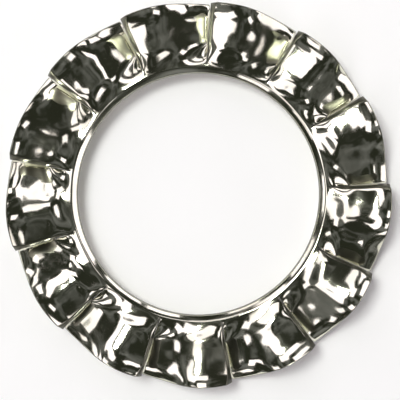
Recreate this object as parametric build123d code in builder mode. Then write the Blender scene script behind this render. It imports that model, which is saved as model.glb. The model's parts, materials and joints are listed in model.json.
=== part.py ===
# Toothed lock washer, outer teeth, stamped from one sheet of steel and twisted tooth by tooth.
# The washer lies flat: the hole's axis is Z, and the origin is the middle of the hole.
# Every tooth is twisted about its own radius, so its counter-clockwise edge stands up
# and its clockwise edge hangs below the sheet.
from build123d import *
import math
import os

# Sizes in millimetres, angles in degrees
bore_diameter = 13.0
outer_diameter = 20.5
sheet_thickness = 1.0
rim_width = 0.45
hole_chamfer = 0.22
slit_end_chamfer = 0.1

tooth_count = 13
tooth_thinning = 0.06
tooth_twist = 27.0
twist_length = 2.6
tooth_crown = 0.2
slit_width = 0.07
first_slit_angle = 3.3

# How many sections the loft of a tooth follows
section_count = 8

# Worked out
bore_radius = bore_diameter / 2
outer_radius = outer_diameter / 2
rim_radius = bore_radius + rim_width
half_pitch = 180.0 / tooth_count
tooth_thickness = sheet_thickness - tooth_thinning

# A tooth's blank starts half way into the rim and runs past the outer circle, which trims it
root_radius = bore_radius + rim_width / 2
blank_radius = outer_radius + sheet_thickness
trim_height = outer_diameter


def twist_share(radius):
    """Share of the whole twist at a radius: none at the rim, all of it twist_length further out."""
    share = min(max((radius - rim_radius) / twist_length, 0.0), 1.0)
    return math.sin(math.radians(90.0) * share) ** 2


def tooth_plane(radius):
    """Plane of a tooth's section at a radius, turned by the twist there, its X to the raised edge."""
    turn = math.radians(tooth_twist * twist_share(radius))
    return Plane(origin=(radius, 0, 0), x_dir=(0, math.cos(turn), math.sin(turn)), z_dir=(1, 0, 0))


def tooth_section(radius):
    """A tooth's section: a strip as wide as the pitch, a little crowned, its cut edges left sharp."""
    half_width = radius * math.tan(math.radians(half_pitch))
    rise = 2 * tooth_crown * twist_share(radius)
    half_thickness = tooth_thickness / 2
    with BuildSketch(tooth_plane(radius)) as section:
        with BuildLine():
            Bezier((half_width, half_thickness), (0, half_thickness + rise), (-half_width, half_thickness))
            Line((-half_width, half_thickness), (-half_width, -half_thickness))
            Bezier((-half_width, -half_thickness), (0, rise - half_thickness), (half_width, -half_thickness))
            Line((half_width, -half_thickness), (half_width, half_thickness))
        make_face()
    return section.sketch


# One tooth, along X, lofted from the flat rim out to its fully twisted tip
section_gap = (blank_radius - root_radius) / (section_count - 1)
section_radii = [root_radius + section_gap * step for step in range(section_count)]
slits_meet = (slit_width / 2) / math.sin(math.radians(half_pitch))
half_share = blank_radius * math.tan(math.radians(half_pitch))

with BuildPart() as tooth:
    loft([tooth_section(radius) for radius in section_radii])
    # The tooth keeps to its own share of the ring, inside the outer circle, with half a slit at each side
    with BuildSketch(Plane.XY.offset(-trim_height / 2)):
        Circle(outer_radius)
        far_end = slits_meet + blank_radius
        Polygon(
            (slits_meet, 0), (far_end, -half_share), (far_end, half_share), align=None, mode=Mode.INTERSECT
        )
    extrude(amount=trim_height, mode=Mode.INTERSECT)

# The whole washer: the rim round the hole, then the teeth round it
with BuildPart() as lock_washer:
    with BuildSketch(Plane.XZ) as rim_section:
        with Locations((bore_radius + rim_width / 2, 0)):
            Rectangle(rim_width, sheet_thickness)
        chamfer(rim_section.vertices().group_by(Axis.X)[0], length=hole_chamfer)
        chamfer(rim_section.vertices().group_by(Axis.X)[-1], length=slit_end_chamfer)
    revolve(axis=Axis.Z)
    with PolarLocations(0, tooth_count, start_angle=first_slit_angle + half_pitch):
        add(tooth.part)

lock_washer.part.label = "lock_washer"

os.makedirs("parts", exist_ok=True)
export_step(lock_washer.part, "parts/lock_washer.step")
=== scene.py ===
import json
import math
import random

import bmesh
import bpy
from bpy.props import FloatProperty, FloatVectorProperty, IntProperty, PointerProperty
from mathutils import Matrix, Vector, noise


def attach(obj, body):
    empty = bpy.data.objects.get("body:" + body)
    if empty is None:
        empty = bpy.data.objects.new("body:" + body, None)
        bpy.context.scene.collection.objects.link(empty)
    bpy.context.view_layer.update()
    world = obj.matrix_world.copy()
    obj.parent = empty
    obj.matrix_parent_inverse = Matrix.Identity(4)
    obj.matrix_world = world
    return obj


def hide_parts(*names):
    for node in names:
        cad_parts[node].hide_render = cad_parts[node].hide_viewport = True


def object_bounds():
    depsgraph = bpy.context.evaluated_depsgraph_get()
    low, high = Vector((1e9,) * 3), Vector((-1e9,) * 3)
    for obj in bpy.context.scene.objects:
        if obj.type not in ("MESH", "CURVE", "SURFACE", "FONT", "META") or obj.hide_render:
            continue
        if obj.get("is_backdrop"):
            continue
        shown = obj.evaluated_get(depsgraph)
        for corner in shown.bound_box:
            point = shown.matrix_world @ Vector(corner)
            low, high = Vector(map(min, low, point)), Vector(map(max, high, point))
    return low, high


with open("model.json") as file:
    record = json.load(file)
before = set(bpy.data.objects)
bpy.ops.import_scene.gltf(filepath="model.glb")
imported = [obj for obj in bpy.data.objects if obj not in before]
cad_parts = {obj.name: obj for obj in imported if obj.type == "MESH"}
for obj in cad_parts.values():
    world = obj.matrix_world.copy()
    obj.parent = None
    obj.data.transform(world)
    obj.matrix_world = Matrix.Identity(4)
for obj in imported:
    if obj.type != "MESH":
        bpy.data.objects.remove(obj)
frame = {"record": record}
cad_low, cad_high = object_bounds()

bl_info = {
    "name": "Toothed Lock Washer",
    "version": (1, 0, 0),
    "blender": (4, 5, 0),
    "location": "View3D > Sidebar > Washer",
    "description": "Models a lock washer of twisted, plated spring steel and lights it on a pale table",
    "category": "Add Mesh",
}

# What the frame says of the washer
MM = 0.001
BORE = next(mount for mount in frame["record"]["mounts"] if mount["name"] == "bore")
BORE_DIAMETER = 2 * BORE["dims"]["r_mm"] * MM
OUTER_DIAMETER = cad_high.x - cad_low.x

# Half of the photograph's width and the radius of the washer in it, in pixels
PHOTO_HALF_WIDTH = 200
PHOTO_RADIUS = 190.5

# The attribute that marks the sheared surfaces, whose dark colour is partly the shear's real dullness and
# partly painted shade in the slits and a painted dark reflection on the hole's wall
SHEARED_AND_SHADE = "sheared"

# Places of the colour sockets in a Mix node's lists of inputs and outputs
MIX_FIRST = 6
MIX_SECOND = 7
MIX_RESULT = 2


class WasherSizes(bpy.types.PropertyGroup):
    """Sizes of the washer and its teeth"""

    bore_diameter: FloatProperty(
        name="Hole", description="Diameter of the hole", default=BORE_DIAMETER, unit="LENGTH"
    )
    outer_diameter: FloatProperty(
        name="Outside", description="Diameter over the teeth", default=OUTER_DIAMETER, unit="LENGTH"
    )
    sheet_thickness: FloatProperty(
        name="Sheet", description="Thickness of the sheet at the rim", default=1.0 * MM, unit="LENGTH"
    )
    rim_width: FloatProperty(
        name="Rim", description="Width of the whole rim between hole and slits", default=0.45 * MM,
        unit="LENGTH",
    )
    hole_chamfer: FloatProperty(
        name="Hole chamfer", description="Width of the chamfers that the punch leaves at the hole",
        default=0.32 * MM, unit="LENGTH",
    )
    chamfer_slope: FloatProperty(
        name="Chamfer slope", description="Depth of the hole's chamfers, as a share of their width",
        default=0.82,
    )
    edge_rounding: FloatProperty(
        name="Tooth edge", description="Radius of the teeth's cut edges", default=0.05 * MM, unit="LENGTH"
    )
    tooth_count: IntProperty(name="Teeth", description="How many teeth stand round the rim", default=13)
    first_slit_angle: FloatProperty(
        name="First slit", description="Angle of the first slit from the X axis",
        default=math.radians(3.3), subtype="ANGLE",
    )
    slit_width: FloatProperty(
        name="Slit", description="Gap that the shear leaves between two teeth", default=0.02 * MM,
        unit="LENGTH",
    )
    tooth_thinning: FloatProperty(
        name="Thinning", description="How much thinner a tooth is than the rim", default=0.06 * MM,
        unit="LENGTH",
    )
    bend_length: FloatProperty(
        name="Bend", description="Length of sheet over which the twist starts at the rim",
        default=1.25 * MM, unit="LENGTH",
    )
    root_twist: FloatProperty(
        name="Root twist", description="How far a tooth is turned about its radius past the bend",
        default=math.radians(24.0), subtype="ANGLE",
    )
    tip_twist: FloatProperty(
        name="Tip twist", description="How far a tooth is turned about its radius at its tip",
        default=math.radians(26.0), subtype="ANGLE",
    )
    crown: FloatProperty(
        name="Crown", description="Bulge of a tooth between its edges at the tip, in half widths",
        default=0.17,
    )
    root_dimple: FloatProperty(
        name="Root dimple", description="Depth of the dimple at a tooth's root, in half widths",
        default=0.05,
    )
    rolled_edge: FloatProperty(
        name="Rolled edge", description="How far the shear rolls the raised edge down, in half widths",
        default=0.24,
    )
    roll_start: FloatProperty(
        name="Roll start", description="Where the roll starts across a tooth, from -1 to 1", default=-0.2
    )
    ripple: FloatProperty(
        name="Ripple", description="Height of the ripple that the twist leaves, in half widths", default=0.03
    )
    lifted_edge: FloatProperty(
        name="Lifted edge", description="How far the hanging edge is lifted at the tip, in half widths",
        default=0.15,
    )
    lift_start: FloatProperty(
        name="Lift start", description="Where the lift starts across a tooth, from 0 to 1", default=0.3
    )
    corner_curl: FloatProperty(
        name="Corner curl", description="How far the twist curls the tip's two corners, in half widths",
        default=0.25,
    )
    curl_start: FloatProperty(
        name="Curl start", description="Share of the tooth's length where the corners start to curl",
        default=0.67,
    )
    uneven_twist: FloatProperty(
        name="Uneven twist", description="Most that a tooth's twist falls short, as a share of it",
        default=0.05,
    )
    uneven_press: FloatProperty(
        name="Uneven press", description="Spread of the teeth's pressed form, as a share of it",
        default=0.4,
    )
    draw_seed: IntProperty(
        name="Draw", description="Start of the random draw of each tooth's own twist and press", default=13
    )
    dent_depth: FloatProperty(
        name="Dent depth", description="Height of the shallow dents that tumbling leaves",
        default=0.07 * MM, unit="LENGTH",
    )
    dent_size: FloatProperty(
        name="Dent size", description="Width of a shallow dent", default=1.6 * MM, unit="LENGTH"
    )
    columns_per_tooth: IntProperty(
        name="Columns", description="Columns of faces across a tooth", default=24
    )
    rings_per_tooth: IntProperty(name="Rings", description="Rings of faces along a tooth", default=36)


class WasherFinish(bpy.types.PropertyGroup):
    """Colours and gloss of the plated steel"""

    bright_color: FloatVectorProperty(
        name="Plating", description="Colour of the bright plating", default=(0.86, 0.86, 0.72),
        subtype="COLOR",
    )
    dull_color: FloatVectorProperty(
        name="Tarnish", description="Colour of the plating where it has dulled",
        default=(0.66, 0.65, 0.52), subtype="COLOR",
    )
    # The cut edges' dark colour is partly the shear's real dullness and partly painted shade in the slits
    # and a painted dark reflection on the hole's wall
    sheared_and_shade_color: FloatVectorProperty(
        name="Cut edge", description="Colour of the plating on the sheared edges",
        default=(0.14, 0.14, 0.11), subtype="COLOR",
    )
    roughness_low: FloatProperty(
        name="Polish", description="Roughness where the plating is brightest", default=0.06
    )
    roughness_high: FloatProperty(
        name="Haze", description="Roughness where the plating is hazy", default=0.13
    )
    roughness_sheared: FloatProperty(
        name="Cut edge roughness", description="Roughness of the sheared edges", default=0.32
    )


class StageSettings(bpy.types.PropertyGroup):
    """Table, lamps and camera"""

    table_color: FloatVectorProperty(
        name="Table", description="Colour of the table", default=(0.95, 0.945, 0.95), subtype="COLOR"
    )
    table_lift: FloatProperty(
        name="Table lift", description="White added to the table where a camera or a mirror sees it",
        default=0.05,
    )
    table_radius: FloatProperty(
        name="Table radius", description="Radius of the table", default=0.6, unit="LENGTH"
    )
    room_color: FloatVectorProperty(
        name="Room", description="Colour of the room that the steel mirrors",
        default=(0.022, 0.024, 0.017), subtype="COLOR",
    )
    wall_color: FloatVectorProperty(
        name="Walls", description="Colour of the room's dim walls where they are brightest",
        default=(0.20, 0.20, 0.205), subtype="COLOR",
    )
    lamp_distance: FloatProperty(
        name="Lamp distance", description="Distance of every lamp from the washer", default=0.3,
        unit="LENGTH",
    )
    key_brightness: FloatProperty(
        name="Key", description="Brightness of the lamp that throws the shadow", default=30.5
    )
    key_color: FloatVectorProperty(
        name="Key colour", description="Colour of the lamp that throws the shadow",
        default=(1.0, 1.03, 0.975), subtype="COLOR",
    )
    fill_brightness: FloatProperty(
        name="Fill", description="Brightness of all the other lamps", default=1.5
    )
    fill_color: FloatVectorProperty(
        name="Fill colour", description="Colour of all the other lamps", default=(1.0, 0.925, 1.0),
        subtype="COLOR",
    )
    camera_tilt: FloatProperty(
        name="Tilt", description="How far the camera leans from straight above",
        default=math.radians(2.0), subtype="ANGLE",
    )
    camera_side: FloatProperty(
        name="Side", description="Direction that the camera leans to, from the X axis",
        default=math.radians(112.0), subtype="ANGLE",
    )
    camera_distance: FloatProperty(
        name="Distance", description="Distance of the camera, in outer radii", default=7.7
    )
    camera_aim: FloatVectorProperty(
        name="Aim", description="Point that the camera looks at", default=(0.08 * MM, -0.3 * MM, 0.0),
        subtype="TRANSLATION",
    )


class WasherSettings(bpy.types.PropertyGroup):
    """All settings of the washer and its stage"""

    sizes: PointerProperty(type=WasherSizes)
    finish: PointerProperty(type=WasherFinish)
    stage: PointerProperty(type=StageSettings)


def tooth_pitch(sizes):
    """Angle from one slit to the next."""
    return 2 * math.pi / sizes.tooth_count


def rim_radius(sizes):
    """Radius where the rim ends and the slits start."""
    return sizes.bore_diameter / 2 + sizes.rim_width


def plan_angle(point):
    """Angle of a point round the hole, from the X axis."""
    return math.atan2(point.y, point.x)


def past_slit(point, sizes):
    """Share of a tooth's pitch from the last slit to a point, from 0 to 1."""
    return ((plan_angle(point) - sizes.first_slit_angle) / tooth_pitch(sizes)) % 1.0


def off_slit(point, sizes):
    """Share of a tooth's pitch from a point to the nearest slit, from 0 to a half."""
    share = past_slit(point, sizes)
    return min(share, 1 - share)


def lay_out_blank(bm, sizes):
    """The flat ring before it is slit, as rings of faces from the hole to the outer circle."""
    bore = sizes.bore_diameter / 2
    rim = rim_radius(sizes)
    ring_step = (sizes.outer_diameter / 2 - rim) / sizes.rings_per_tooth
    # The first ring stands clear of the hole's chamfer
    clearance = 1.15
    radii = [bore + sizes.hole_chamfer * clearance]
    radii += [rim + ring_step * ring for ring in range(sizes.rings_per_tooth + 1)]
    bmesh.ops.create_circle(
        bm, cap_ends=False, radius=bore, segments=sizes.tooth_count * sizes.columns_per_tooth
    )
    first_column = Matrix.Rotation(sizes.first_slit_angle - math.pi / 2, 3, "Z")
    bmesh.ops.rotate(bm, cent=(0, 0, 0), matrix=first_column, verts=bm.verts[:])
    edges = bm.edges[:]
    last_radius = bore
    for radius in radii:
        made = bmesh.ops.extrude_edge_only(bm, edges=edges)["geom"]
        points = {item for item in made if isinstance(item, bmesh.types.BMVert)}
        edges = [
            item for item in made
            if isinstance(item, bmesh.types.BMEdge) and points.issuperset(item.verts)
        ]
        growth = radius / last_radius
        bmesh.ops.scale(bm, vec=(growth, growth, 1), verts=list(points))
        last_radius = radius


def cut_slits(bm, sizes):
    """Cuts the ring from the rim outwards along the slits and opens each cut by the shear's gap."""
    rim = rim_radius(sizes)
    near = 1e-3
    on_slit = {
        point for point in bm.verts
        if off_slit(point.co, sizes) < near and point.co.length > rim * (1 - near)
    }
    cuts = [edge for edge in bm.edges if on_slit.issuperset(edge.verts)]
    bmesh.ops.split_edges(bm, edges=cuts)
    for point in bm.verts:
        if off_slit(point.co, sizes) < near and point.co.length > rim * (1 + near):
            middle = sum((face.calc_center_median() for face in point.link_faces), Vector())
            turn = sizes.slit_width / 2 / point.co.length
            turn = turn if past_slit(middle, sizes) < 0.5 else -turn
            point.co = Matrix.Rotation(turn, 3, "Z") @ point.co


def give_thickness(bm, sizes):
    """Turns the flat faces into a closed sheet, half of its thickness on each side of the XY plane."""
    flat = bm.faces[:]
    made = bmesh.ops.extrude_face_region(bm, geom=flat, use_keep_orig=True)["geom"]
    raised = [item for item in made if isinstance(item, bmesh.types.BMVert)]
    bmesh.ops.translate(bm, vec=(0, 0, sizes.sheet_thickness), verts=raised)
    bmesh.ops.translate(bm, vec=(0, 0, -sizes.sheet_thickness / 2), verts=bm.verts[:])
    bmesh.ops.recalc_face_normals(bm, faces=bm.faces[:])


def is_square(edge):
    """Whether the two faces at an edge stand at about a right angle."""
    return math.radians(60) < edge.calc_face_angle(0) < math.radians(120)


def chamfer_hole(bm, sizes):
    """Gives the hole the nearly flat chamfers that the punch leaves at its two ends."""
    bore = sizes.bore_diameter / 2
    near = 0.001 * MM
    hole_edges = [
        edge for edge in bm.edges
        if is_square(edge) and all(abs(point.co.xy.length - bore) < near for point in edge.verts)
    ]
    # A bevel's profile is flat at 0.25 and round at 0.5
    nearly_flat = 0.28
    bmesh.ops.bevel(
        bm, geom=hole_edges, offset=sizes.hole_chamfer, offset_type="OFFSET", segments=6,
        profile=nearly_flat, affect="EDGES", clamp_overlap=True, material=-1,
    )
    half_sheet = sizes.sheet_thickness / 2
    for point in bm.verts:
        if point.co.xy.length < bore + sizes.hole_chamfer - near:
            depth = (half_sheet - abs(point.co.z)) * sizes.chamfer_slope
            point.co.z = math.copysign(half_sheet - depth, point.co.z)


def round_cut_edges(bm, sizes):
    """Rounds the teeth's cut edges a little, and leaves the slits' pointed ends as they are cut."""
    near = 0.001 * MM
    slits_open = rim_radius(sizes) + near
    cut_edges = [
        edge for edge in bm.edges
        if is_square(edge) and all(point.co.xy.length > slits_open for point in edge.verts)
    ]
    bmesh.ops.bevel(
        bm, geom=cut_edges, offset=sizes.edge_rounding, offset_type="OFFSET", segments=3, profile=0.5,
        affect="EDGES", clamp_overlap=True, material=-1, miter_outer="ARC",
    )


def mark_sheared_and_shade(bm, sizes):
    """Marks how dull the shear leaves the slits' walls and the punch the hole's and the outer wall; the
    slits' and the hole's walls are marked darkest, which adds painted shade in the slits and a painted dark
    reflection on the hole's wall.
    """
    sheared = bm.verts.layers.float.new(SHEARED_AND_SHADE)
    rim = rim_radius(sizes)
    # The full mark on the slits' and the hole's walls paints shade in the slits and a dark reflection on the
    # hole's wall, beyond the shear's real dullness
    slit_dull_and_shaded = 1.0
    outside_dullness = 0.5
    hole_dull_and_shaded = 1.0
    # A wall's normal leans up or down by less than these shares of its length
    tooth_wall_lean = 0.8
    hole_wall_lean = 0.4
    # The outer wall's normal runs along the radius by more than this share
    outwards = 0.8
    for face in bm.faces:
        middle = face.calc_center_median()
        lean = abs(face.normal.z)
        dull_and_shaded = 0.0
        if middle.length > rim and lean < tooth_wall_lean:
            faces_out = abs(face.normal.dot(middle.normalized())) > outwards
            dull_and_shaded = outside_dullness if faces_out else slit_dull_and_shaded
        elif middle.length <= rim and lean < hole_wall_lean:
            dull_and_shaded = hole_dull_and_shaded
        for point in face.verts:
            point[sheared] = max(point[sheared], dull_and_shaded)


def smooth_step(value):
    """Rises from 0 to 1 without a corner at either end."""
    value = min(max(value, 0.0), 1.0)
    return value * value * (3 - 2 * value)


def bulge(along, across, sizes):
    """Crown of a tooth less the dimple at its root, in half widths, at shares along and across it."""
    root_share = 0.2
    crown = sizes.crown * (root_share + (1 - root_share) * along) * (1 - across**2)
    dimple_along, dimple_across = 0.09, 0.4
    dimple_length, dimple_width = 0.12, 0.35
    away = ((along - dimple_along) / dimple_length)**2 + ((across - dimple_across) / dimple_width)**2
    return crown - sizes.root_dimple * math.exp(-away)


def roll(along, across, sizes):
    """The shear's roll of the raised edge and the ripple beside it, in half widths."""
    rolled = max(across - sizes.roll_start, 0.0) / (1 - sizes.roll_start)
    ripples_across, ripple_slant, ripple_shift = 1.3, -1.1, 0.6
    phase = math.pi * ripples_across * across + ripple_slant * along + ripple_shift
    return sizes.ripple * math.sin(phase) - sizes.rolled_edge * rolled**2


def curl(along, across, sizes):
    """The curl of the tip's corners and the lift of its hanging edge, in half widths."""
    lifted = max(-across - sizes.lift_start, 0.0) / (1 - sizes.lift_start)
    curled = max(along - sizes.curl_start, 0.0) / (1 - sizes.curl_start)
    return sizes.lifted_edge * (along * lifted)**2 + sizes.corner_curl * across * curled**2


def tumbled(point, sizes):
    """Height of the shallow dents that tumbling leaves at a point, with finer and fainter ones in them."""
    finer, fainter = 2.3, 0.4
    wide = sizes.dent_depth * noise.noise(point / sizes.dent_size)
    small = sizes.dent_depth * noise.noise(point / sizes.dent_size * finer)
    return wide + small * fainter


def twist_past_bend(along, sizes):
    """Angle that a tooth is turned by past its bend, most at its tip."""
    tip_power = 3
    return sizes.root_twist + (sizes.tip_twist - sizes.root_twist) * along**tip_power


def twist_teeth(bm, sizes):
    """Presses every tooth's form, leaves shallow dents and twists the tooth about its own radius."""
    pitch = tooth_pitch(sizes)
    rim = rim_radius(sizes)
    tooth_length = sizes.outer_diameter / 2 - rim
    half_slit = sizes.slit_width / 2 / math.cos(pitch / 2)
    # The bend starts inside the rim, which holds the teeth's edges back at the slits' ends
    share_of_rim_bent = 0.55
    bend_start = rim - sizes.rim_width * share_of_rim_bent
    held_edge_power = 6
    # Only points past the slits' ends are kept to their own side of a slit
    past_slit_end = 1.001
    draw = random.Random(sizes.draw_seed)
    own_twist = [1 - sizes.uneven_twist * draw.random() for _ in range(sizes.tooth_count)]
    least_press = 1 - sizes.uneven_press / 2
    own_press = [least_press + sizes.uneven_press * draw.random() for _ in range(sizes.tooth_count)]
    for point in bm.verts:
        turns = math.floor((plan_angle(point.co) - sizes.first_slit_angle) / pitch)
        tooth = turns % sizes.tooth_count
        middle = sizes.first_slit_angle + (turns + 0.5) * pitch
        to_tooth = Matrix.Rotation(-middle, 3, "Z")
        x, y, z = to_tooth @ point.co
        radius = math.hypot(x, y)
        half_width = x * math.tan(pitch / 2)
        across = y / half_width
        along = min(max((x - rim) / tooth_length, 0.0), 1.0)
        bent = smooth_step((x - bend_start) / sizes.bend_length)
        held = smooth_step((rim + sizes.bend_length - x) / sizes.bend_length)
        turn = twist_past_bend(along, sizes) * own_twist[tooth]
        turn *= bent * (1 - held * across**held_edge_power)
        pressed = bulge(along, across, sizes) + roll(along, across, sizes) * (1 - held)
        z *= 1 - bent * sizes.tooth_thinning / sizes.sheet_thickness
        z += (pressed * bent + curl(along, across, sizes)) * half_width * own_press[tooth]
        z += tumbled(point.co, sizes) * bent
        new_y = y * math.cos(turn) - z * math.sin(turn)
        new_z = y * math.sin(turn) + z * math.cos(turn)
        if radius > rim * past_slit_end:
            side = half_width - half_slit
            new_y = min(max(new_y, -side), side)
        new_x = math.sqrt(radius**2 - new_y**2)
        new_z = min(max(new_z, cad_low.z), cad_high.z)
        point.co = to_tooth.inverted() @ Vector((new_x, new_y, new_z))


def add_noise(tree, place, scale, detail):
    """Adds a noise pattern at some coordinates and returns its height."""
    pattern = tree.nodes.new("ShaderNodeTexNoise")
    pattern.inputs["Scale"].default_value = scale
    pattern.inputs["Detail"].default_value = detail
    tree.links.new(place, pattern.inputs["Vector"])
    return pattern.outputs["Fac"]


def add_range(tree, value, low, high, to_low=0.0, to_high=1.0):
    """Stretches a value from one range to another and returns it."""
    stretch = tree.nodes.new("ShaderNodeMapRange")
    stretch.inputs["From Min"].default_value = low
    stretch.inputs["From Max"].default_value = high
    stretch.inputs["To Min"].default_value = to_low
    stretch.inputs["To Max"].default_value = to_high
    tree.links.new(value, stretch.inputs["Value"])
    return stretch.outputs["Result"]


def add_color_mix(tree, share, second_color):
    """Adds a mix towards a second colour by a share."""
    mix = tree.nodes.new("ShaderNodeMix")
    mix.data_type = "RGBA"
    mix.inputs[MIX_SECOND].default_value = (*second_color, 1)
    tree.links.new(share, mix.inputs["Factor"])
    return mix


def add_bump(tree, height, strength, distance):
    """Adds a bump of a height and returns its normal."""
    bump = tree.nodes.new("ShaderNodeBump")
    bump.inputs["Strength"].default_value = strength
    bump.inputs["Distance"].default_value = distance
    tree.links.new(height, bump.inputs["Height"])
    return bump.outputs["Normal"]


def plated_steel(finish):
    """Bright plating on spring steel, hazier and yellower in patches, with fine tumbling marks and dark
    sheared edges that also paint shade in the slits and a dark reflection on the hole's wall.
    """
    material = bpy.data.materials.new("plated_steel_finish")
    material.use_nodes = True
    tree = material.node_tree
    shader = tree.nodes["Principled BSDF"]
    shader.inputs["Metallic"].default_value = 1.0
    place = tree.nodes.new("ShaderNodeTexCoord").outputs["Object"]
    sheared_and_shade_mark = tree.nodes.new("ShaderNodeAttribute")
    sheared_and_shade_mark.attribute_name = SHEARED_AND_SHADE

    patches = add_noise(tree, place, scale=420.0, detail=3.0)
    tarnish = add_range(tree, patches, low=0.45, high=0.75)
    tint = add_color_mix(tree, tarnish, finish.dull_color)
    tint.inputs[MIX_FIRST].default_value = (*finish.bright_color, 1)
    # Darkens the marked edges: the shear's real dullness, with painted shade in the slits and a painted dark
    # reflection on the hole's wall
    sheared_and_shade_tint = add_color_mix(tree, sheared_and_shade_mark.outputs["Fac"], finish.sheared_and_shade_color)
    tree.links.new(tint.outputs[MIX_RESULT], sheared_and_shade_tint.inputs[MIX_FIRST])
    tree.links.new(sheared_and_shade_tint.outputs[MIX_RESULT], shader.inputs["Base Color"])

    haze = add_range(
        tree, patches, low=0.35, high=0.7, to_low=finish.roughness_low, to_high=finish.roughness_high
    )
    edge_haze = tree.nodes.new("ShaderNodeMix")
    edge_haze.inputs["B"].default_value = finish.roughness_sheared
    tree.links.new(sheared_and_shade_mark.outputs["Fac"], edge_haze.inputs["Factor"])
    tree.links.new(haze, edge_haze.inputs["A"])
    tree.links.new(edge_haze.outputs["Result"], shader.inputs["Roughness"])

    marks = add_noise(tree, place, scale=2600.0, detail=4.0)
    tree.links.new(add_bump(tree, marks, strength=0.12, distance=0.02 * MM), shader.inputs["Normal"])
    return material


def matt_table(color, lift):
    """Pale matt board of the table, faintly uneven, and lifted towards white where it is looked at."""
    material = bpy.data.materials.new("matt_table_finish")
    material.use_nodes = True
    tree = material.node_tree
    shader = tree.nodes["Principled BSDF"]
    shader.inputs["Base Color"].default_value = (*color, 1)
    shader.inputs["Roughness"].default_value = 0.9
    place = tree.nodes.new("ShaderNodeTexCoord").outputs["Object"]
    grain = add_noise(tree, place, scale=900.0, detail=2.0)
    tree.links.new(add_bump(tree, grain, strength=0.05, distance=0.1 * MM), shader.inputs["Normal"])

    rays = tree.nodes.new("ShaderNodeLightPath")
    seen = rays.outputs["Is Camera Ray"]
    for ray in ("Is Glossy Ray", "Is Transmission Ray"):
        either = tree.nodes.new("ShaderNodeMath")
        either.operation = "MAXIMUM"
        tree.links.new(seen, either.inputs[0])
        tree.links.new(rays.outputs[ray], either.inputs[1])
        seen = either.outputs["Value"]
    lifted = tree.nodes.new("ShaderNodeMath")
    lifted.operation = "MULTIPLY"
    lifted.inputs[1].default_value = lift
    tree.links.new(seen, lifted.inputs[0])
    shader.inputs["Emission Color"].default_value = (1, 1, 1, 1)
    tree.links.new(lifted.outputs["Value"], shader.inputs["Emission Strength"])
    return material


def new_piece(name, bm, material):
    """Makes a smooth object at the origin from a finished bmesh."""
    mesh = bpy.data.meshes.new(name)
    bm.to_mesh(mesh)
    bm.free()
    mesh.shade_smooth()
    mesh.materials.append(material)
    piece = bpy.data.objects.new(name, mesh)
    bpy.context.scene.collection.objects.link(piece)
    return piece


class WASHER_OT_make_washer(bpy.types.Operator):
    """Models the washer as it is stamped: blank, slits, thickness, edges, twisted teeth"""

    bl_idname = "washer.make_washer"
    bl_label = "Make Washer"

    def execute(self, context):
        settings = context.scene.washer
        sizes = settings.sizes
        bm = bmesh.new()
        lay_out_blank(bm, sizes)
        cut_slits(bm, sizes)
        give_thickness(bm, sizes)
        chamfer_hole(bm, sizes)
        round_cut_edges(bm, sizes)
        mark_sheared_and_shade(bm, sizes)
        twist_teeth(bm, sizes)
        washer = new_piece("twisted_tooth_washer", bm, plated_steel(settings.finish))
        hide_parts("lock_washer")
        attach(washer, "root")
        return {"FINISHED"}


def direction(side, height):
    """Unit vector to a side, in radians from the X axis, and a height above the table, in radians."""
    return Vector((math.cos(side) * math.cos(height), math.sin(side) * math.cos(height), math.sin(height)))


def lay_table(settings):
    """The table, a wide disc that the washer's lowest points touch."""
    bm = bmesh.new()
    bmesh.ops.create_circle(bm, cap_ends=True, radius=settings.table_radius, segments=96)
    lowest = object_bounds()[0].z
    bmesh.ops.translate(bm, vec=(0, 0, lowest), verts=bm.verts[:])
    table = new_piece("table", bm, matt_table(settings.table_color, settings.table_lift))
    table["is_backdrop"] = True


def dim_room(room_color, wall_color):
    """The dark room round the table, with dim walls and corners that the steel mirrors as greys."""
    world = bpy.data.worlds.new("room")
    world.use_nodes = True
    tree = world.node_tree
    place = tree.nodes.new("ShaderNodeTexCoord").outputs["Generated"]
    corners = add_noise(tree, place, scale=3.0, detail=3.0)
    shade = add_color_mix(tree, add_range(tree, corners, low=0.46, high=0.72), wall_color)
    shade.inputs[MIX_FIRST].default_value = (*room_color, 1)
    tree.links.new(shade.outputs[MIX_RESULT], tree.nodes["Background"].inputs["Color"])
    return world


def softbox(name, side, height, width, depth, distance, brightness, color):
    """A soft lamp that looks at the washer; width and depth are the angles that it fills, in degrees."""
    towards = direction(math.radians(side), math.radians(height))
    data = bpy.data.lights.new(name, "AREA")
    data.shape = "RECTANGLE"
    data.size = 2 * distance * math.tan(math.radians(width / 2))
    data.size_y = 2 * distance * math.tan(math.radians(depth / 2))
    data.energy = brightness * math.pi * data.size * data.size_y
    data.color = color
    lamp = bpy.data.objects.new(name, data)
    lamp.location = towards * distance
    lamp.rotation_euler = towards.to_track_quat("Z", "Y").to_euler()
    bpy.context.scene.collection.objects.link(lamp)


def set_lamps(settings):
    """The key lamp, the wide lamps above the washer and the strips round it."""
    key = {
        "distance": settings.lamp_distance,
        "brightness": settings.key_brightness,
        "color": settings.key_color,
    }
    fill = {
        "distance": settings.lamp_distance,
        "brightness": settings.fill_brightness,
        "color": settings.fill_color,
    }
    softbox("key_softbox", side=140, height=71, width=14, depth=14, **key)
    softbox("overhead_softbox", side=190, height=73, width=24, depth=24, **fill)
    softbox("upper_softbox", side=98, height=56, width=34, depth=14, **fill)
    softbox("left_softbox", side=138, height=50, width=24, depth=16, **fill)
    softbox("lower_softbox", side=225, height=56, width=30, depth=18, **fill)
    softbox("right_softbox", side=25, height=44, width=18, depth=10, **fill)
    softbox("far_right_softbox", side=322, height=44, width=16, depth=10, **fill)
    softbox("low_right_softbox", side=0, height=14, width=60, depth=22, **fill)
    # The side, height and width of each strip
    strips = (
        (50, 12, 20), (72, 14, 16), (99, 34, 22), (112, 10, 16), (126, 24, 16),
        (150, 14, 20), (182, 24, 16), (216, 28, 14), (245, 20, 14),
    )
    for side, height, width in strips:
        softbox("wall_softbox", side, height, width, depth=12, **fill)


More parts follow.
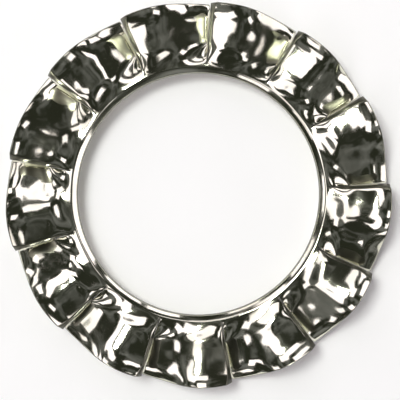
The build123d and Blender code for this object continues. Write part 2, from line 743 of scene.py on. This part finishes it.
def set_camera(settings, sizes):
    """The camera almost straight above, framed so that the washer is as large as in the photograph."""
    radius = sizes.outer_diameter / 2
    away = direction(settings.camera_side, math.pi / 2 - settings.camera_tilt)
    distance = settings.camera_distance * radius
    across = Vector((0, 1, 0)).cross(away).normalized()
    upwards = away.cross(across)
    turned = Matrix((across, upwards, away)).transposed().to_4x4()
    data = bpy.data.cameras.new("camera")
    data.sensor_width = 36.0
    data.lens = data.sensor_width / 2 * distance / (radius * PHOTO_HALF_WIDTH / PHOTO_RADIUS)
    data.clip_start = 1.0 * MM
    camera = bpy.data.objects.new("camera", data)
    camera.matrix_world = Matrix.Translation(Vector(settings.camera_aim) + away * distance) @ turned
    bpy.context.scene.collection.objects.link(camera)
    bpy.context.scene.camera = camera


class WASHER_OT_set_stage(bpy.types.Operator):
    """Sets the pale table, the dim room, the soft lamps and the camera"""

    bl_idname = "washer.set_stage"
    bl_label = "Set Stage"

    def execute(self, context):
        settings = context.scene.washer.stage
        context.scene.view_settings.view_transform = "Standard"
        lay_table(settings)
        context.scene.world = dim_room(settings.room_color, settings.wall_color)
        set_lamps(settings)
        set_camera(settings, context.scene.washer.sizes)
        return {"FINISHED"}


class WASHER_PT_sidebar(bpy.types.Panel):
    """Lists the washer's settings and steps"""

    bl_idname = "WASHER_PT_sidebar"
    bl_label = "Toothed Lock Washer"
    bl_space_type = "VIEW_3D"
    bl_region_type = "UI"
    bl_category = "Washer"

    def draw(self, context):
        settings = context.scene.washer
        for group in (settings.sizes, settings.finish, settings.stage):
            box = self.layout.box()
            for name in group.__annotations__:
                box.prop(group, name)
        self.layout.operator(WASHER_OT_make_washer.bl_idname)
        self.layout.operator(WASHER_OT_set_stage.bl_idname)


CLASSES = (
    WasherSizes,
    WasherFinish,
    StageSettings,
    WasherSettings,
    WASHER_OT_make_washer,
    WASHER_OT_set_stage,
    WASHER_PT_sidebar,
)


def register():
    """Registers the classes and puts the settings on the scene."""
    for cls in CLASSES:
        bpy.utils.register_class(cls)
    bpy.types.Scene.washer = PointerProperty(type=WasherSettings)


def unregister():
    """Takes the settings off the scene and the classes back out."""
    del bpy.types.Scene.washer
    for cls in reversed(CLASSES):
        bpy.utils.unregister_class(cls)


def main():
    """Makes the washer and its stage."""
    register()
    bpy.ops.washer.make_washer()
    bpy.ops.washer.set_stage()


if __name__ == "__main__":
    main()
